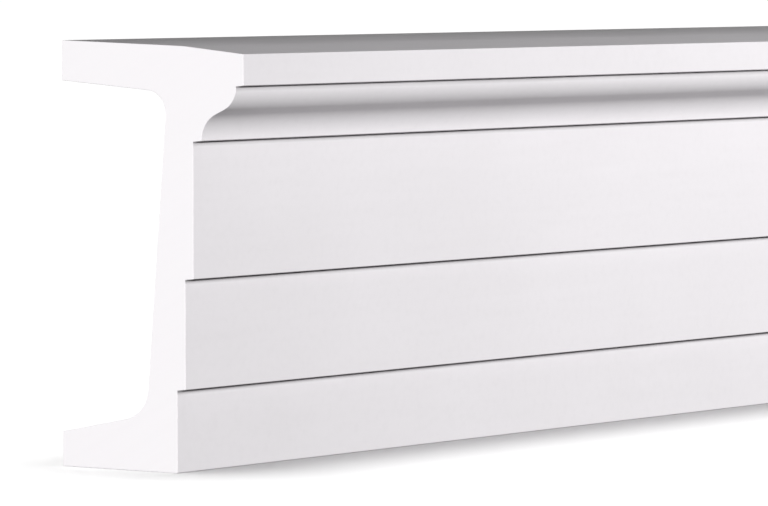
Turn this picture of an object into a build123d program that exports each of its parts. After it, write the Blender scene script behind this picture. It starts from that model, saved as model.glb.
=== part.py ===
from build123d import *
import os
from math import atan2, degrees, radians, tan

# Facade architrave moulding: one length of rigid foam, cast in one piece, with a hollow back.
# Millimetres. X runs along the length, +Z is up, the wall is at +Y and the fasciae face -Y.
# The origin is on the underside, at the middle of the length and of the overall depth.

# Driving dimensions

# Length in which it is sold
length = 2000.0

# Heights of the courses, from the underside up
lower_fascia_height = 57.6
middle_fascia_height = 77.2
upper_fascia_height = 95.9
ogee_course_height = 38.7
band_height = 22.4

# Fall of the top, in two planes: a steeper one over the band and a gentle one back to the wall
front_weathering_rise = 5.1
front_weathering_run = 52.1
rear_weathering_rise = 3.1

# Depths out from the wall: the lower fascia, and what each course adds to the one below
lower_fascia_depth = 102.0
fascia_step = 7.1
ogee_projection = 30.1
band_step = 6.4

# Radius of the ogee's rounded upper half; the hollow lower half follows from the course
ogee_crown_radius = 18.9

# Mould draft of the narrow soffits under each step, in degrees
soffit_draft = 5.5

# Hollow back: flange thickness where each meets the wall, and the web behind the fasciae
upper_flange_edge = 28.2
lower_flange_edge = 24.6
web_thickness = 25.4

# Draft of the flanges' inner faces, in degrees
upper_flange_draft = 4.4
lower_flange_draft = 11.2

# Roundings: flange roots in the hollow, fold of the weathered top, outer arrises
upper_root_radius = 17.0
lower_root_radius = 25.0
weathering_fold_radius = 150.0
arris_radius = 0.7

# Levels worked out from the courses
lower_soffit_level = lower_fascia_height
middle_soffit_level = lower_soffit_level + middle_fascia_height
upper_soffit_level = middle_soffit_level + upper_fascia_height
band_soffit_level = upper_soffit_level + ogee_course_height
band_top_level = band_soffit_level + band_height
fold_level = band_top_level + front_weathering_rise
overall_height = fold_level + rear_weathering_rise

# Depths worked out from the steps
middle_fascia_depth = lower_fascia_depth + fascia_step
upper_fascia_depth = middle_fascia_depth + fascia_step
ogee_foot_depth = upper_fascia_depth + fascia_step
ogee_head_depth = ogee_foot_depth + ogee_projection
overall_depth = ogee_head_depth + band_step
fold_depth = overall_depth - front_weathering_run

# The web's inner face runs parallel to the line through the inner corners of the soffits
web_lean = (upper_fascia_depth - lower_fascia_depth) / (upper_soffit_level - lower_soffit_level)


def at(depth, height):
    """Point of the section, from its depth out from the wall and its height."""
    return (overall_depth / 2 - depth, height)


def soffit_rise(step):
    """Height that a soffit gains from its inner corner to its outer edge."""
    return step * tan(radians(soffit_draft))


def hollow_corner(edge_height, slope):
    """Where a flange's inner face, which leaves the wall at edge_height, meets the web."""
    inner_depth_at_edge = lower_fascia_depth - web_thickness + web_lean * (edge_height - lower_soffit_level)
    depth = inner_depth_at_edge / (1 - web_lean * slope)
    return at(depth, edge_height + slope * depth)


# Corners of the front, from the underside up
underside_back = at(0, 0)
underside_front = at(lower_fascia_depth, 0)
lower_quirk = at(lower_fascia_depth, lower_soffit_level)
middle_edge = at(middle_fascia_depth, lower_soffit_level + soffit_rise(fascia_step))
middle_quirk = at(middle_fascia_depth, middle_soffit_level)
upper_edge = at(upper_fascia_depth, middle_soffit_level + soffit_rise(fascia_step))
upper_quirk = at(upper_fascia_depth, upper_soffit_level)
ogee_foot = at(ogee_foot_depth, upper_soffit_level + soffit_rise(fascia_step))
ogee_head = at(ogee_head_depth, band_soffit_level)
band_foot = at(overall_depth, band_soffit_level + soffit_rise(band_step))

# Corners of the top and of the hollow back
band_top = at(overall_depth, band_top_level)
weathering_fold = at(fold_depth, fold_level)
top_back = at(0, overall_height)
upper_wall_edge = at(0, overall_height - upper_flange_edge)
upper_root = hollow_corner(overall_height - upper_flange_edge, -tan(radians(upper_flange_draft)))
lower_root = hollow_corner(lower_flange_edge, tan(radians(lower_flange_draft)))
lower_wall_edge = at(0, lower_flange_edge)

outer_arrises = [
    underside_back,
    underside_front,
    middle_edge,
    upper_edge,
    ogee_foot,
    band_foot,
    band_top,
    top_back,
    upper_wall_edge,
    lower_wall_edge,
]


def ogee():
    """Cyma reversa: a hollow arc below and a rounded one above, upright at both ends."""
    rise = ogee_head[1] - ogee_foot[1]
    hollow_radius = (ogee_projection**2 + rise**2) / (2 * ogee_projection) - ogee_crown_radius
    turn = 2 * degrees(atan2(ogee_projection, rise))
    hollow_half = JernArc(ogee_foot, (0, 1), hollow_radius, turn)
    crown_half = JernArc(hollow_half @ 1, hollow_half % 1, ogee_crown_radius, -turn)
    return crown_half @ 1


def draw_outline():
    """The closed outline of the section, with its corners still sharp."""
    Polyline(
        underside_back,
        underside_front,
        lower_quirk,
        middle_edge,
        middle_quirk,
        upper_edge,
        upper_quirk,
        ogee_foot,
    )
    head = ogee()
    Polyline(
        head,
        band_foot,
        band_top,
        weathering_fold,
        top_back,
        upper_wall_edge,
        upper_root,
        lower_root,
        lower_wall_edge,
        underside_back,
    )


def round_corners(section, corners, radius):
    """Round the named corners of the section."""
    fillet([section.vertices().sort_by_distance(corner)[0] for corner in corners], radius)


def moulding_section():
    """The section of the moulding, rounded at its arrises, fold and flange roots."""
    with BuildSketch() as section:
        with BuildLine():
            draw_outline()
        make_face()
        round_corners(section, [upper_root], upper_root_radius)
        round_corners(section, [lower_root], lower_root_radius)
        round_corners(section, [weathering_fold], weathering_fold_radius)
        round_corners(section, outer_arrises, arris_radius)
    return section.sketch


def architrave_moulding():
    """The section run along the length, with both ends cut square."""
    return extrude(Plane.YZ * moulding_section(), amount=length / 2, both=True)


os.makedirs("parts", exist_ok=True)
export_step(architrave_moulding(), "parts/architrave_moulding.step")
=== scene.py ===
from math import atan2, cos, pi, radians, sin, tan

import bmesh
import bpy
from bpy.props import FloatProperty, FloatVectorProperty, PointerProperty
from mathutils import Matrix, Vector


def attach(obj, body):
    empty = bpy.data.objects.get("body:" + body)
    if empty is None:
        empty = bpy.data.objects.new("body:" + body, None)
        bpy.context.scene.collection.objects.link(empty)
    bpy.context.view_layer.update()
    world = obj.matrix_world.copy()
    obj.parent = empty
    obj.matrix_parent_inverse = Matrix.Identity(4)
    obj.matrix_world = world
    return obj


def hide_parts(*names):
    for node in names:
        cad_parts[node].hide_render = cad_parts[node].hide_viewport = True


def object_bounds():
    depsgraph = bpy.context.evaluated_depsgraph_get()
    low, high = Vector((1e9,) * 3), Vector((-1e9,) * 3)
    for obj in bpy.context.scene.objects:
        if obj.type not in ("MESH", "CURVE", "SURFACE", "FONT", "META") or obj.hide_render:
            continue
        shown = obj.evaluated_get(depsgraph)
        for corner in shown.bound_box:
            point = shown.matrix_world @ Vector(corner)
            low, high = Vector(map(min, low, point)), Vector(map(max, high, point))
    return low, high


bl_info = {
    "name": "Architrave Moulding",
    "version": (1, 0, 0),
    "blender": (4, 5, 0),
    "location": "3D View > Sidebar > Moulding",
    "description": "Casts a length of facade architrave moulding and sets the studio that shows it",
    "category": "Object",
}

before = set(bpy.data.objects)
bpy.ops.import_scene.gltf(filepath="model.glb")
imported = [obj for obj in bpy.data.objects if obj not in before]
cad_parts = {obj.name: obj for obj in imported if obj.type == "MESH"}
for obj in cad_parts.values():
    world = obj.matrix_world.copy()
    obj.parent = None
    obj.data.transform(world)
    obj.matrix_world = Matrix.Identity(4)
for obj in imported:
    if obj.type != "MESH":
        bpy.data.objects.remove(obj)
cad_low, cad_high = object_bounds()

NODE = "architrave_moulding"
HOLLOW_MASK = "hollow_back"
# The mask of the painted shade in the quirks and at the back of the top
QUIRK_SHADE_MASK = "missed_by_primer"
CUT_MASK = "cut_end"

# What a corner of the section carries: how far it is hollow back, and how much painted shade it has.
# Painted shade: the quirks under the steps and the back of the top are painted darker where shade falls.
PRIMED = (0.0, 0.0)
SHADED_QUIRK = (0.0, 1.0)
SHADED_TOP_BACK = (0.0, 0.8)
HOLLOW = (1.0, 0.0)

# The wall that the moulding is fitted to touches the back of its two flanges.
WALL_Y = cad_high.y

# How many steps the roundings of the section are drawn in
ARRIS_STEPS = 5
OGEE_STEPS = 16
ROOT_STEPS = 16
FOLD_STEPS = 8
CUT_ARRIS_STEPS = 3

# The normal of a cut end's face lies along the length by more than this share of itself.
CUT_FACING = 0.9

# The rim of a cut end is this share of the length away from the middle, and folds by more than this.
RIM_SHARE = 0.4999
RIM_FOLD = radians(80)

# Every other edge is sharp where it folds by more than this.
SHARP_FOLD = radians(35)

# The noise is scaled by this along the primer's streaks and along the saw's marks, to draw them out.
STREAK_STRETCH = 0.06
SAW_STRETCH = 0.03

# Width and height of the lamps
FAR_BOX = (2.0, 0.6)
STRIP_BOX = (2.0, 0.3)
BAR_BOX = (0.5, 0.1)
BACK_BOX = (3.2, 0.44)

# The far lamps stand FAR away, turned from straight ahead towards the left end, and raised.
FAR = 12.0
KEY_TURN = radians(45)
KEY_RISE = radians(10)
END_TURN = radians(95)
END_RISE = radians(3)

# Where the near lamps and the back lamp stand, and what the near ones look at
STRIP_PLACE = (0.6, -1.5, 0.65)
STRIP_TARGET = (0.6, 0.0, 0.15)
BAR_PLACE = (-0.8, -1.5, 0.56)
BAR_TARGET = (-0.8, 0.0, 0.15)
BACK_PLACE = (0.0, 5.0, 0.22)

# The floor is wide enough to have no edge in any view. Its own light is broad, for a soft shadow.
FLOOR_RADIUS = 120.0
FLOOR_SIDES = 64
FLOOR_LIGHT_ANGLE = radians(34)

# Width of the camera's sensor in mm, and how far the camera sees
SENSOR_WIDTH = 36.0
CAMERA_REACH = 400.0


def quantity(name, description, default, subtype, unit):
    """A number that the user can set, never below nothing."""
    return FloatProperty(
        name=name,
        description=description,
        default=default,
        min=0.0,
        subtype=subtype,
        unit=unit,
    )


def distance(name, description, default):
    """A length that the user can set, in metres."""
    return quantity(name, description, default, "DISTANCE", "LENGTH")


def angle(name, description, degrees):
    """An angle that the user can set, given in degrees."""
    return quantity(name, description, radians(degrees), "ANGLE", "ROTATION")


def colour(name, description, default):
    """A paint colour that the user can set."""
    return FloatVectorProperty(
        name=name,
        description=description,
        default=default,
        min=0.0,
        max=1.0,
        subtype="COLOR",
    )


def watts(name, description, default):
    """The power of a lamp."""
    return quantity(name, description, default, "POWER", "POWER")


def strength(name, description, default):
    """A strength without a unit."""
    return quantity(name, description, default, "NONE", "NONE")


class SectionSizes(bpy.types.PropertyGroup):
    """Driving sizes of the moulding's section and of its length."""

    length: distance("Length", "Length of the piece of stock", cad_high.x - cad_low.x)
    lower_fascia: distance("Lower Fascia", "Height of the lower fascia", 0.0576)
    middle_fascia: distance("Middle Fascia", "Height of the middle fascia", 0.0772)
    upper_fascia: distance("Upper Fascia", "Height of the upper fascia", 0.0959)
    ogee_course: distance("Ogee Course", "Height of the ogee with its soffit", 0.0387)
    band: distance("Band", "Height of the plain band", 0.0224)
    front_rise: distance("Front Rise", "Rise of the steeper front part of the top", 0.0051)
    front_run: distance("Front Run", "Depth of the steeper front part of the top", 0.0521)
    rear_rise: distance("Rear Rise", "Rise of the gentle rear part of the top", 0.0031)
    lower_depth: distance("Lower Depth", "Depth from the wall to the lower fascia", 0.102)
    fascia_step: distance("Fascia Step", "How far each fascia stands proud of the one below", 0.0071)
    ogee_projection: distance("Ogee Projection", "How far the ogee comes forward", 0.0301)
    ogee_crown: distance("Ogee Crown", "Radius of the rounded upper part of the ogee", 0.0178)
    ogee_turn: angle("Ogee Turn", "How far the ogee's straight run leans out of the upright", 65.5)
    band_step: distance("Band Step", "How far the band stands proud of the ogee", 0.0064)
    soffit_draft: angle("Soffit Draft", "Mould draft of the narrow soffits", 5.5)
    upper_edge: distance("Upper Flange Edge", "Thickness of the upper flange at the wall", 0.0282)
    lower_edge: distance("Lower Flange Edge", "Thickness of the lower flange at the wall", 0.0246)
    upper_draft: angle("Upper Flange Draft", "Slope of the upper flange's inner face", 4.4)
    lower_draft: angle("Lower Flange Draft", "Slope of the lower flange's inner face", 11.2)
    web: distance("Web", "Thickness of the web behind the fasciae", 0.0254)
    upper_root: distance("Upper Root", "Radius between the upper flange and the web", 0.017)
    lower_root: distance("Lower Root", "Radius between the lower flange and the web", 0.025)
    top_fold: distance("Top Fold", "Radius between the two slopes of the top", 0.15)
    arris: distance("Arris", "Rounding of the moulded arrises", 0.0007)
    # Painted shade: the face below each quirk gets an extra point this far down, where its painted shade
    # ends.
    quirk_shade_reach: distance("Quirk Shade Reach", "How far a quirk's painted shade reaches down the face", 0.0035)
    cut_arris: distance("Cut Arris", "Rounding of the arrises at the cut ends", 0.0004)
    station: distance("Station", "Spacing of the sections along the length", 0.05)


class FinishSettings(bpy.types.PropertyGroup):
    """Colours, marks and grain of the primer, the moulded skin and the cut foam, and the colour of the
    painted shade.
    """

    primer: colour("Primer", "White factory primer", (0.86, 0.835, 0.86))
    primer_shade: colour("Primer Shade", "Where the primer lies a little thinner", (0.835, 0.81, 0.833))
    # Painted shade: the darker colour painted into the quirks and at the back of the top.
    painted_shade_colour: colour("Painted Shade", "Painted shade in the quirks and at the back of the top", (0.56, 0.542, 0.556))
    skin: colour("Skin", "Bare moulded skin in the hollow back", (0.83, 0.805, 0.80))
    skin_shade: colour("Skin Shade", "Darker flow marks of the moulded skin", (0.785, 0.755, 0.74))
    foam: colour("Foam", "Cut foam of the ends", (0.87, 0.85, 0.868))
    foam_shade: colour("Foam Shade", "Cell walls and saw marks of the cut ends", (0.835, 0.812, 0.832))
    cell: distance("Cell", "Width of the cells of the cut foam", 0.0005)
    saw_mark: distance("Saw Mark", "Spacing of the saw's marks on the cut ends", 0.006)
    saw_slant: angle("Saw Slant", "How far the saw's marks slant", 28)
    cloud: distance("Cloud", "Width of the primer's clouds", 0.12)
    streak: distance("Streak", "Width of the primer's streaks", 0.012)
    flow_mark: distance("Flow Mark", "Width of the moulded skin's flow marks", 0.03)
    speck: distance("Speck", "Width of the primer's specks", 0.006)
    blow_holes: distance("Blow Holes", "Spacing of the small holes in the moulded skin", 0.035)
    peel: distance("Peel", "Width of the dimples of the sprayed primer", 0.0025)
    grain: distance("Grain", "Width of the finest grain", 0.0003125)
    relief: distance("Relief", "Depth of the dimples, cells and holes", 0.0001)
    relief_share: strength("Relief Share", "How much of that depth shows", 0.25)
    gloss: strength("Gloss", "Mirror-like share of the surface's light", 0.08)
    roughness: strength("Roughness", "Roughness of the smoothest primer", 0.62)


class StudioSettings(bpy.types.PropertyGroup):
    """Camera, lamps and floor of the studio."""

    camera_place: FloatVectorProperty(
        name="Camera Place",
        description="Where the camera stands, in the moulding's own frame",
        default=(-4.203, -2.506, 0.3639),
        subtype="XYZ",
        unit="LENGTH",
    )
    camera_turn: angle("Camera Turn", "Azimuth of the view, from straight on towards the left end", 54.236)
    camera_fall: angle("Camera Fall", "How far the view looks down", 2.975)
    lens: quantity("Lens", "Focal length in mm, on 36 mm of width", 274.2, "DISTANCE_CAMERA", "CAMERA")
    key_power: watts("Key Power", "Far softbox at the front left", 985.0)
    end_power: watts("End Power", "Far softbox that faces the left end", 882.0)
    other_end_power: watts("Other End Power", "Far softbox that faces the right end", 420.0)
    strip_power: watts("Strip Power", "Long strip light before the moulding", 19.6)
    bar_power: watts("Bar Power", "Short bar light before the left end", 4.1)
    back_power: watts("Back Power", "Low softbox behind the moulding", 150.0)
    stray: strength("Stray", "Stray light of the studio", 0.005)
    floor_sun: strength("Floor Light", "Overhead light for the floor alone", 3.6)
    floor: colour("Floor", "Pale floor", (0.9, 0.9, 0.9))
    floor_bounce: colour("Floor Bounce", "Share of its light that it sends back", (0.004, 0.004, 0.004))


# Node trees


class Value:
    """What a socket gives. Arithmetic on it adds Math nodes to its tree."""

    def __init__(self, bench, socket):
        self.bench = bench
        self.socket = socket

    def output(self, name):
        """Another output of the same node."""
        return Value(self.bench, self.socket.node.outputs[name])

    def __add__(self, other):
        return self.bench.maths("ADD", self, other)

    def __radd__(self, other):
        return self.bench.maths("ADD", other, self)

    def __sub__(self, other):
        return self.bench.maths("SUBTRACT", self, other)

    def __rsub__(self, other):
        return self.bench.maths("SUBTRACT", other, self)

    def __mul__(self, other):
        return self.bench.maths("MULTIPLY", self, other)

    def __rmul__(self, other):
        return self.bench.maths("MULTIPLY", other, self)

    def __gt__(self, other):
        return self.bench.maths("GREATER_THAN", self, other)

    def __lt__(self, other):
        return self.bench.maths("LESS_THAN", self, other)


class Bench:
    """Builds one node tree, a node at a time."""

    def __init__(self, tree):
        self.tree = tree

    def node(self, kind, settings=None, inputs=None, output=0):
        """A node of one kind: its settings first, then its sockets. Gives one of its outputs."""
        node = self.tree.nodes.new(kind)
        for name, setting in (settings or {}).items():
            if name == "stops":
                self.set_stops(node.color_ramp, setting)
            else:
                setattr(node, name, setting)
        for name, value in (inputs or {}).items():
            self.fill(node.inputs[name], value)
        return Value(self, node.outputs[output]) if node.outputs else node

    def fill(self, socket, value):
        """Link or set one socket."""
        if isinstance(value, Value):
            self.tree.links.new(value.socket, socket)
        elif hasattr(value, "__len__") and len(value) == 3 and socket.type == "RGBA":
            socket.default_value = (*value, 1.0)
        else:
            socket.default_value = value

    def set_stops(self, ramp, stops):
        """Give a colour ramp its stops, each a place and a grey."""
        while len(ramp.elements) < len(stops):
            ramp.elements.new(1.0)
        for element, (place, grey) in zip(ramp.elements, stops):
            element.position = place
            element.color = (grey, grey, grey, 1.0)

    def maths(self, operation, first, second):
        """One Math node."""
        return self.node("ShaderNodeMath", {"operation": operation}, {0: first, 1: second})

    def ramp(self, value, low, high):
        """0 up to the low mark, 1 from the high mark on, and even in between."""
        return self.node("ShaderNodeValToRGB", {"stops": [(low, 0.0), (high, 1.0)]}, {0: value})

    def blend(self, factor, first, second):
        """Mix two colours."""
        return self.node("ShaderNodeMix", {"data_type": "RGBA"}, {0: factor, 6: first, 7: second}, output=2)


# The section


def arc(centre, radius, start, turn, steps):
    """Points of an arc, both ends included; angles in radians, counted anticlockwise."""
    angles = [start + turn * step / steps for step in range(steps + 1)]
    return [Vector((centre.x + radius * cos(a), centre.y + radius * sin(a))) for a in angles]


def rounded(before, corner, after, radius, steps):
    """Points that replace a corner by an arc which touches both its sides."""
    towards_before = (before - corner).normalized()
    towards_after = (after - corner).normalized()
    half_opening = towards_before.angle(towards_after) / 2
    centre = corner + (towards_before + towards_after).normalized() * radius / sin(half_opening)
    start = corner + towards_before * radius / tan(half_opening) - centre
    end = corner + towards_after * radius / tan(half_opening) - centre
    turn = start.angle_signed(end, 0.0)
    return arc(centre, radius, atan2(start.y, start.x), -turn, steps)


def ogee(foot, head, crown_radius, turn, steps):
    """Points of a cyma reversa from foot to head: hollow below, a straight run, rounded above."""
    projection = head.x - foot.x
    rise = head.y - foot.y
    both_radii = (rise * sin(turn) - projection * cos(turn)) / (1 - cos(turn))
    hollow_radius = both_radii - crown_radius
    hollow = arc(foot + Vector((hollow_radius, 0)), hollow_radius, pi, -turn, steps)
    crown = arc(head - Vector((crown_radius, 0)), crown_radius, -turn, turn, steps)
    return hollow[1:] + crown[:-1]


def section_corners(sizes):
    """Corners of the section as (depth from the wall, height), with their rounding and their masks."""
    fascia_rise = sizes.fascia_step * tan(sizes.soffit_draft)
    band_rise = sizes.band_step * tan(sizes.soffit_draft)
    depths = [sizes.lower_depth + sizes.fascia_step * count for count in range(4)]
    lower_level = sizes.lower_fascia
    middle_level = lower_level + sizes.middle_fascia
    upper_level = middle_level + sizes.upper_fascia
    band_level = upper_level + sizes.ogee_course
    band_top = band_level + sizes.band
    fold_level = band_top + sizes.front_rise
    top = fold_level + sizes.rear_rise
    head_depth = depths[3] + sizes.ogee_projection
    band_depth = head_depth + sizes.band_step
    foot = Vector((depths[3], upper_level + fascia_rise))
    head = Vector((head_depth, band_level))
    web_lean = 2 * sizes.fascia_step / (upper_level - lower_level)

    def flange_root(level, slope):
        """Where a flange's inner face, which leaves the wall at a level, meets the web."""
        depth = (sizes.lower_depth - sizes.web + web_lean * (level - lower_level)) / (1 - web_lean * slope)
        return (depth, level + slope * depth)

    upper_inner = top - sizes.upper_edge
    arris = (sizes.arris, ARRIS_STEPS)
    sharp = (0.0, 0)
    front = [((0.0, 0.0), arris, PRIMED), ((depths[0], 0.0), arris, PRIMED)]
    # Each quirk under a step carries painted shade, fading out a short way down the face below it.
    for step, level in enumerate((lower_level, middle_level, upper_level)):
        front += [
            ((depths[step], level - sizes.quirk_shade_reach), sharp, PRIMED),
            ((depths[step], level), sharp, SHADED_QUIRK),
            ((depths[step + 1], level + fascia_rise), arris, PRIMED),
        ]
    for point in ogee(foot, head, sizes.ogee_crown, sizes.ogee_turn, OGEE_STEPS):
        # Painted shade: the top of the crown, just under the band's quirk, is painted darker, fading out
        # downwards.
        shade_share = max(0.0, 1.0 - (head - point).length / sizes.quirk_shade_reach)
        front.append((point, sharp, (0.0, shade_share)))
    # The band's quirk and the back of the top carry painted shade.
    front += [
        (head, sharp, SHADED_QUIRK),
        ((band_depth, band_level + band_rise), arris, PRIMED),
        ((band_depth, band_top), arris, PRIMED),
        ((band_depth - sizes.front_run, fold_level), (sizes.top_fold, FOLD_STEPS), PRIMED),
        ((0.0, top), arris, SHADED_TOP_BACK),
    ]
    upper_root = flange_root(upper_inner, -tan(sizes.upper_draft))
    lower_root = flange_root(sizes.lower_edge, tan(sizes.lower_draft))
    back = [
        ((0.0, upper_inner), arris, HOLLOW),
        (upper_root, (sizes.upper_root, ROOT_STEPS), HOLLOW),
        (lower_root, (sizes.lower_root, ROOT_STEPS), HOLLOW),
        ((0.0, sizes.lower_edge), arris, HOLLOW),
    ]
    return front + back


def section_outline(sizes):
    """Points of the closed outline, in the order that turns its faces outwards, and their masks."""
    corners = [(Vector(place), rounding, carried) for place, rounding, carried in section_corners(sizes)]
    points, masks = [], []
    for index, (corner, (radius, steps), carried) in enumerate(corners):
        before = corners[index - 1][0]
        after = corners[(index + 1) % len(corners)][0]
        made = rounded(before, corner, after, radius, steps) if radius else [corner]
        points += made
        masks += [carried] * len(made)
    return points[::-1], masks[::-1]


def section_mesh(sizes):
    """The outline as a loop of edges, standing in its place across the moulding."""
    points, masks = section_outline(sizes)
    places = [(0.0, WALL_Y - point.x, point.y) for point in points]
    edges = [(index, (index + 1) % len(points)) for index in range(len(points))]
    mesh = bpy.data.meshes.new("moulding_section")
    mesh.from_pydata(places, edges, [])
    for name, values in zip((HOLLOW_MASK, QUIRK_SHADE_MASK), zip(*masks)):
        mesh.attributes.new(name, "FLOAT", "POINT").data.foreach_set("value", values)
    return mesh


# The run of the moulding


def add_input(tree, name, kind, default=None):
    """A named input of a node group; gives the identifier that a modifier sets it by."""
    socket = tree.interface.new_socket(name, in_out="INPUT", socket_type=kind)
    if default is not None:
        socket.default_value = default
    return socket.identifier


def run_tree():
    """Geometry nodes that run a section along X, close both ends and mark them as cut."""
    tree = bpy.data.node_groups.new("Moulding Run", "GeometryNodeTree")
    tree.interface.new_socket("Geometry", in_out="OUTPUT", socket_type="NodeSocketGeometry")
    add_input(tree, "Section", "NodeSocketGeometry")
    identifiers = {
        "length": add_input(tree, "Length", "NodeSocketFloat", 1.0),
        "station": add_input(tree, "Station Spacing", "NodeSocketFloat", 0.1),
        "finish": add_input(tree, "Finish", "NodeSocketMaterial"),
    }
    bench = Bench(tree)
    given = bench.node("NodeGroupInput")
    length = given.output("Length")
    place = bench.node("GeometryNodeInputPosition")
    across = bench.node("ShaderNodeSeparateXYZ", inputs={0: place})
    laid_flat = bench.node(
        "ShaderNodeCombineXYZ",
        inputs={"X": 0.0 - across.output("Y"), "Y": 0.0 - across.output("Z")},
    )
    section = bench.node(
        "GeometryNodeSetPosition",
        inputs={"Geometry": given.output("Section"), "Position": laid_flat},
    )
    outline = bench.node("GeometryNodeMeshToCurve", inputs={"Mesh": section})
    start = bench.node("ShaderNodeCombineXYZ", inputs={"X": length * -0.5})
    end = bench.node("ShaderNodeCombineXYZ", inputs={"X": length * 0.5})
    axis = bench.node("GeometryNodeCurvePrimitiveLine", inputs={"Start": start, "End": end})
    stations = bench.node(
        "GeometryNodeResampleCurve",
        {"mode": "LENGTH"},
        {"Curve": axis, "Length": given.output("Station Spacing")},
    )
    body = bench.node(
        "GeometryNodeCurveToMesh",
        inputs={"Curve": stations, "Profile Curve": outline, "Fill Caps": True},
    )
    normal = bench.node("ShaderNodeSeparateXYZ", inputs={0: bench.node("GeometryNodeInputNormal")})
    facing_along = bench.node("ShaderNodeMath", {"operation": "ABSOLUTE"}, {0: normal.output("X")})
    marked = bench.node(
        "GeometryNodeStoreNamedAttribute",
        {"data_type": "FLOAT", "domain": "FACE"},
        {"Geometry": body, "Name": CUT_MASK, "Value": facing_along > CUT_FACING},
    )
    fold = bench.node("GeometryNodeInputMeshEdgeAngle")
    along = bench.node("ShaderNodeSeparateXYZ", inputs={0: bench.node("GeometryNodeInputPosition")})
    from_middle = bench.node("ShaderNodeMath", {"operation": "ABSOLUTE"}, {0: along.output("X")})
    rim = (from_middle > length * RIM_SHARE) * (fold > RIM_FOLD)
    weighted = bench.node(
        "GeometryNodeStoreNamedAttribute",
        {"data_type": "FLOAT", "domain": "EDGE"},
        {"Geometry": marked, "Name": "bevel_weight_edge", "Value": rim},
    )
    smooth = bench.node("GeometryNodeSetShadeSmooth", inputs={"Geometry": weighted, "Shade Smooth": True})
    sharp = bench.node(
        "GeometryNodeSetShadeSmooth",
        {"domain": "EDGE"},
        {"Geometry": smooth, "Selection": (fold > SHARP_FOLD) * (1 - rim), "Shade Smooth": False},
    )
    realized = bench.node("GeometryNodeRealizeInstances", inputs={0: sharp})
    finished = bench.node(
        "GeometryNodeSetMaterial",
        inputs={"Geometry": realized, "Material": given.output("Finish")},
    )
    bench.node("NodeGroupOutput", inputs={0: finished})
    return tree, identifiers


def plain_mesh(piece, name):
    """The evaluated shape of a piece as a mesh of its own."""
    depsgraph = bpy.context.evaluated_depsgraph_get()
    mesh = bpy.data.meshes.new_from_object(piece.evaluated_get(depsgraph), depsgraph=depsgraph)
    mesh.name = name
    return mesh


def run_section(sizes, finish):
    """The moulding as one closed mesh: the section run along its length, its cut arrises rounded."""
    blank = bpy.data.objects.new("moulding_blank", section_mesh(sizes))
    bpy.context.scene.collection.objects.link(blank)
    tree, identifiers = run_tree()
    run = blank.modifiers.new("Moulding Run", "NODES")
    run.node_group = tree
    run[identifiers["length"]] = sizes.length
    run[identifiers["station"]] = sizes.station
    run[identifiers["finish"]] = finish
    arrises = blank.modifiers.new("Cut Arrises", "BEVEL")
    arrises.limit_method = "WEIGHT"
    arrises.offset_type = "OFFSET"
    arrises.width = sizes.cut_arris
    arrises.segments = CUT_ARRIS_STEPS
    shading = blank.modifiers.new("Flat Faces", "WEIGHTED_NORMAL")
    shading.mode = "FACE_AREA"
    shading.weight = 50
    shading.keep_sharp = True
    mesh = plain_mesh(blank, "moulding")
    bpy.data.objects.remove(blank)
    return mesh


# The finish


def noise(bench, place, width, detail=2.0, roughness=0.5):
    """Noise whose blotches are about as wide as said, from 0 to 1."""
    inputs = {"Vector": place, "Scale": 1.0 / width, "Detail": detail, "Roughness": roughness}
    return bench.node("ShaderNodeTexNoise", inputs=inputs)


def cells_of(bench, place, width):
    """How far a place is from the middle of its cell, for cells about as wide as said."""
    return bench.node("ShaderNodeTexVoronoi", inputs={"Vector": place, "Scale": 1.0 / width})


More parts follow.
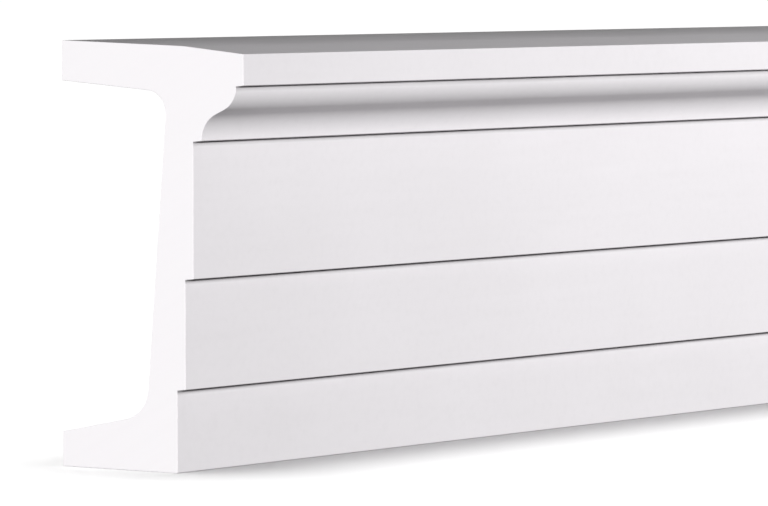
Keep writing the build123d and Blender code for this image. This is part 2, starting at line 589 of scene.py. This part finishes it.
def finish_material(settings):
    """White primer outside, unprimed moulded skin in the hollow back, fine cells on the cut ends, and
    painted shade in the quirks and at the back of the top.
    """
    material = bpy.data.materials.new("primed_foam")
    material.use_nodes = True
    material.node_tree.nodes.clear()
    bench = Bench(material.node_tree)
    place = bench.node("ShaderNodeTexCoord", output="Object")
    hollow = bench.node("ShaderNodeAttribute", {"attribute_name": HOLLOW_MASK}, output="Fac")
    # How much painted shade each place carries
    shade_share = bench.node("ShaderNodeAttribute", {"attribute_name": QUIRK_SHADE_MASK}, output="Fac")
    cut = bench.node("ShaderNodeAttribute", {"attribute_name": CUT_MASK}, output="Fac")

    # Primer: faint clouds and streaks where the sprayer passed, and painted shade in the quirks and at the
    # back of the top
    drawn_out = (STREAK_STRETCH, 1.0, 1.0)
    along = bench.node("ShaderNodeMapping", inputs={"Vector": place, "Scale": drawn_out})
    clouds = noise(bench, place, settings.cloud, 3.0)
    streaks = noise(bench, along, settings.streak, 3.0, 0.6)
    specks = noise(bench, place, settings.speck, 2.0)
    thinness = clouds * 0.5 + streaks * 0.35 + specks * 0.15
    thin = bench.ramp(thinness, 0.35, 0.65)
    covered = bench.blend(thin, settings.primer, settings.primer_shade)
    # Painted shade: darker in the quirks and at the back of the top, where shade falls, broken up by the
    # streaks and specks.
    shade_amount = bench.ramp(shade_share * (0.5 + streaks) + specks * 0.1, 0.05, 0.8)
    primer_and_shade = bench.blend(shade_amount, covered, settings.painted_shade_colour)

    # Moulded skin: flow marks along the length and small blow holes
    flow = noise(bench, along, settings.flow_mark, 4.0, 0.6)
    marks = bench.ramp(flow, 0.4, 0.65)
    holes = 1 - bench.ramp(cells_of(bench, place, settings.blow_holes), 0.04, 0.1)
    skinned = bench.blend(marks * 0.7 + holes * 0.6, settings.skin, settings.skin_shade)
    overspray = bench.ramp(hollow * 0.7 + specks * 0.3, 0.35, 0.65)
    outside = bench.blend(overspray, primer_and_shade, skinned)

    # Cut ends: closed cells, and the slanting marks of the saw
    slant = (settings.saw_slant, 0.0, 0.0)
    slanted = bench.node("ShaderNodeMapping", inputs={"Vector": place, "Rotation": slant})
    sawn_out = (1.0, SAW_STRETCH, 1.0)
    across = bench.node("ShaderNodeMapping", inputs={"Vector": slanted, "Scale": sawn_out})
    saw = noise(bench, across, settings.saw_mark, 2.0)
    cells = cells_of(bench, place, settings.cell)
    sawn = bench.blend(cells * 0.3 + saw * 0.4, settings.foam, settings.foam_shade)
    paint = bench.blend(cut, outside, sawn)

    # Relief: the dimples of the primer, the cells and saw marks of the cut, and the blow holes
    peel = noise(bench, place, settings.peel, 1.0)
    grain = noise(bench, place, settings.grain, 1.0)
    moulded = peel * 0.7 + grain * 0.3 - holes * hollow * 2.0
    relief = moulded * (1 - cut) + (cells + saw * 2.0) * cut
    bump = bench.node(
        "ShaderNodeBump",
        inputs={"Strength": settings.relief_share, "Distance": settings.relief, "Height": relief},
    )
    surface = bench.node(
        "ShaderNodeBsdfPrincipled",
        inputs={
            "Base Color": paint,
            "Roughness": settings.roughness + 0.12 * clouds + 0.12 * cut,
            "Specular IOR Level": settings.gloss,
            "Normal": bump,
        },
    )
    bench.node("ShaderNodeOutputMaterial", inputs={"Surface": surface})
    return material


# The studio


def aim(thing, place, target):
    """Stand a lamp at a place and turn it to a target."""
    thing.location = place
    thing.rotation_euler = (Vector(target) - Vector(place)).to_track_quat("-Z", "Y").to_euler()


def softbox(name, size, power, place, target):
    """An area lamp that the camera doesn't see. Its size is its width and height."""
    lamp = bpy.data.lights.new(name, "AREA")
    lamp.shape = "RECTANGLE"
    lamp.size, lamp.size_y = size
    lamp.energy = power
    thing = bpy.data.objects.new(name, lamp)
    thing.visible_camera = False
    bpy.context.scene.collection.objects.link(thing)
    aim(thing, place, target)
    return thing


def seen_directly(bench):
    """1 for rays from the camera and for what metal and glass show of the background."""
    rays = bench.node("ShaderNodeLightPath", output="Is Camera Ray")
    both = bench.maths("MAXIMUM", rays, rays.output("Is Glossy Ray"))
    return bench.maths("MAXIMUM", both, rays.output("Is Transmission Ray"))


def floor_material(studio):
    """A pale floor that sends only a little light back up."""
    material = bpy.data.materials.new("pale_floor")
    material.use_nodes = True
    material.node_tree.nodes.clear()
    bench = Bench(material.node_tree)
    shade = bench.blend(seen_directly(bench), studio.floor_bounce, studio.floor)
    surface = bench.node("ShaderNodeBsdfDiffuse", inputs={"Color": shade})
    bench.node("ShaderNodeOutputMaterial", inputs={"Surface": surface})
    return material


def lay_floor(studio):
    """A wide round floor under the moulding."""
    shape = bmesh.new()
    bmesh.ops.create_circle(shape, cap_ends=True, segments=FLOOR_SIDES, radius=FLOOR_RADIUS)
    mesh = bpy.data.meshes.new("floor")
    shape.to_mesh(mesh)
    shape.free()
    mesh.materials.append(floor_material(studio))
    floor = bpy.data.objects.new("floor", mesh)
    bpy.context.scene.collection.objects.link(floor)
    return floor


def shine_on(lamp, pieces):
    """Keep a lamp's light to some pieces."""
    receivers = bpy.data.collections.new(lamp.name + "_receivers")
    for piece in pieces:
        receivers.objects.link(piece)
    lamp.light_linking.receiver_collection = receivers


def light_floor(floor, studio):
    """A broad overhead light for the floor alone, so that the moulding's foot has a soft shadow."""
    lamp = bpy.data.lights.new("floor_light", "SUN")
    lamp.energy = studio.floor_sun
    lamp.angle = FLOOR_LIGHT_ANGLE
    thing = bpy.data.objects.new("floor_light", lamp)
    bpy.context.scene.collection.objects.link(thing)
    shine_on(thing, [floor])


def far_place(turn, rise, target):
    """Where a far lamp stands that shines on a target."""
    level = FAR * cos(rise)
    return target + Vector((-level * sin(turn), -level * cos(turn), FAR * sin(rise)))


def light_moulding(piece, studio):
    """The lamps that shape the moulding. They leave the floor to its own light."""
    left = Vector((cad_low.x, 0.0, cad_high.z / 2))
    right = Vector((cad_high.x, 0.0, cad_high.z / 2))
    middle = (left + right) / 2
    before_left = far_place(KEY_TURN, KEY_RISE, left)
    beyond_left = far_place(END_TURN, END_RISE, left)
    beyond_right = far_place(-END_TURN, END_RISE, right)
    lamps = [
        softbox("key_light", FAR_BOX, studio.key_power, before_left, left),
        softbox("end_light", FAR_BOX, studio.end_power, beyond_left, left),
        softbox("other_end_light", FAR_BOX, studio.other_end_power, beyond_right, right),
        softbox("strip_light", STRIP_BOX, studio.strip_power, STRIP_PLACE, STRIP_TARGET),
        softbox("bar_light", BAR_BOX, studio.bar_power, BAR_PLACE, BAR_TARGET),
        softbox("back_light", BACK_BOX, studio.back_power, BACK_PLACE, middle),
    ]
    for lamp in lamps:
        shine_on(lamp, [piece])


def set_world(studio):
    """White surroundings for the camera, and a weak stray light for everything else."""
    world = bpy.data.worlds.new("studio")
    world.use_nodes = True
    world.node_tree.nodes.clear()
    bench = Bench(world.node_tree)
    white = bench.node("ShaderNodeBackground", inputs={"Color": (1.0, 1.0, 1.0), "Strength": 1.0})
    stray = bench.node("ShaderNodeBackground", inputs={"Color": (1.0, 1.0, 1.0), "Strength": studio.stray})
    shown = bench.node("ShaderNodeMixShader", inputs={0: seen_directly(bench), 1: stray, 2: white})
    bench.node("ShaderNodeOutputWorld", inputs={"Surface": shown})
    bpy.context.scene.world = world


def set_camera(studio):
    """The camera at the photograph's place, with its long lens."""
    camera = bpy.data.cameras.new("camera")
    camera.lens = studio.lens
    camera.sensor_width = SENSOR_WIDTH
    camera.clip_end = CAMERA_REACH
    thing = bpy.data.objects.new("camera", camera)
    thing.location = studio.camera_place
    thing.rotation_euler = (radians(90) - studio.camera_fall, 0.0, -studio.camera_turn)
    bpy.context.scene.collection.objects.link(thing)
    bpy.context.scene.camera = thing


# Operators


class MOULDING_OT_cast(bpy.types.Operator):
    """Cast the moulding in one piece, prime it and cut its ends"""

    bl_idname = "moulding.cast"
    bl_label = "Cast Moulding"

    def execute(self, context):
        scene = context.scene
        finish = finish_material(scene.moulding_finish)
        mesh = run_section(scene.moulding_sizes, finish)
        if not mesh.polygons:
            raise RuntimeError("the section gave no faces")
        piece = bpy.data.objects.new("moulding", mesh)
        scene.collection.objects.link(piece)
        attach(piece, "root")
        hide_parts(NODE)
        return {"FINISHED"}


class MOULDING_OT_stage(bpy.types.Operator):
    """Set the floor, the lamps, the surroundings and the camera"""

    bl_idname = "moulding.stage"
    bl_label = "Set Studio"

    def execute(self, context):
        studio = context.scene.moulding_studio
        piece = context.scene.objects.get("moulding")
        if piece is None:
            raise RuntimeError("the moulding is cast before the studio is set")
        floor = lay_floor(studio)
        light_floor(floor, studio)
        light_moulding(piece, studio)
        set_world(studio)
        set_camera(studio)
        context.scene.view_settings.view_transform = "Standard"
        return {"FINISHED"}


class MOULDING_PT_sidebar(bpy.types.Panel):
    """The moulding's operators and sizes in the sidebar"""

    bl_idname = "MOULDING_PT_sidebar"
    bl_label = "Architrave Moulding"
    bl_space_type = "VIEW_3D"
    bl_region_type = "UI"
    bl_category = "Moulding"

    def draw(self, context):
        scene = context.scene
        for settings in (scene.moulding_sizes, scene.moulding_finish, scene.moulding_studio):
            box = self.layout.box()
            for name in type(settings).__annotations__:
                box.prop(settings, name)
        self.layout.operator(MOULDING_OT_cast.bl_idname)
        self.layout.operator(MOULDING_OT_stage.bl_idname)


CLASSES = (
    SectionSizes,
    FinishSettings,
    StudioSettings,
    MOULDING_OT_cast,
    MOULDING_OT_stage,
    MOULDING_PT_sidebar,
)


def register():
    """Add the settings, operators and panel."""
    for each in CLASSES:
        bpy.utils.register_class(each)
    bpy.types.Scene.moulding_sizes = PointerProperty(type=SectionSizes)
    bpy.types.Scene.moulding_finish = PointerProperty(type=FinishSettings)
    bpy.types.Scene.moulding_studio = PointerProperty(type=StudioSettings)


def unregister():
    """Take the settings, operators and panel away."""
    del bpy.types.Scene.moulding_studio
    del bpy.types.Scene.moulding_finish
    del bpy.types.Scene.moulding_sizes
    for each in reversed(CLASSES):
        bpy.utils.unregister_class(each)


def main():
    """Build the moulding and its studio."""
    register()
    bpy.ops.moulding.cast()
    bpy.ops.moulding.stage()


if __name__ == "__main__":
    main()
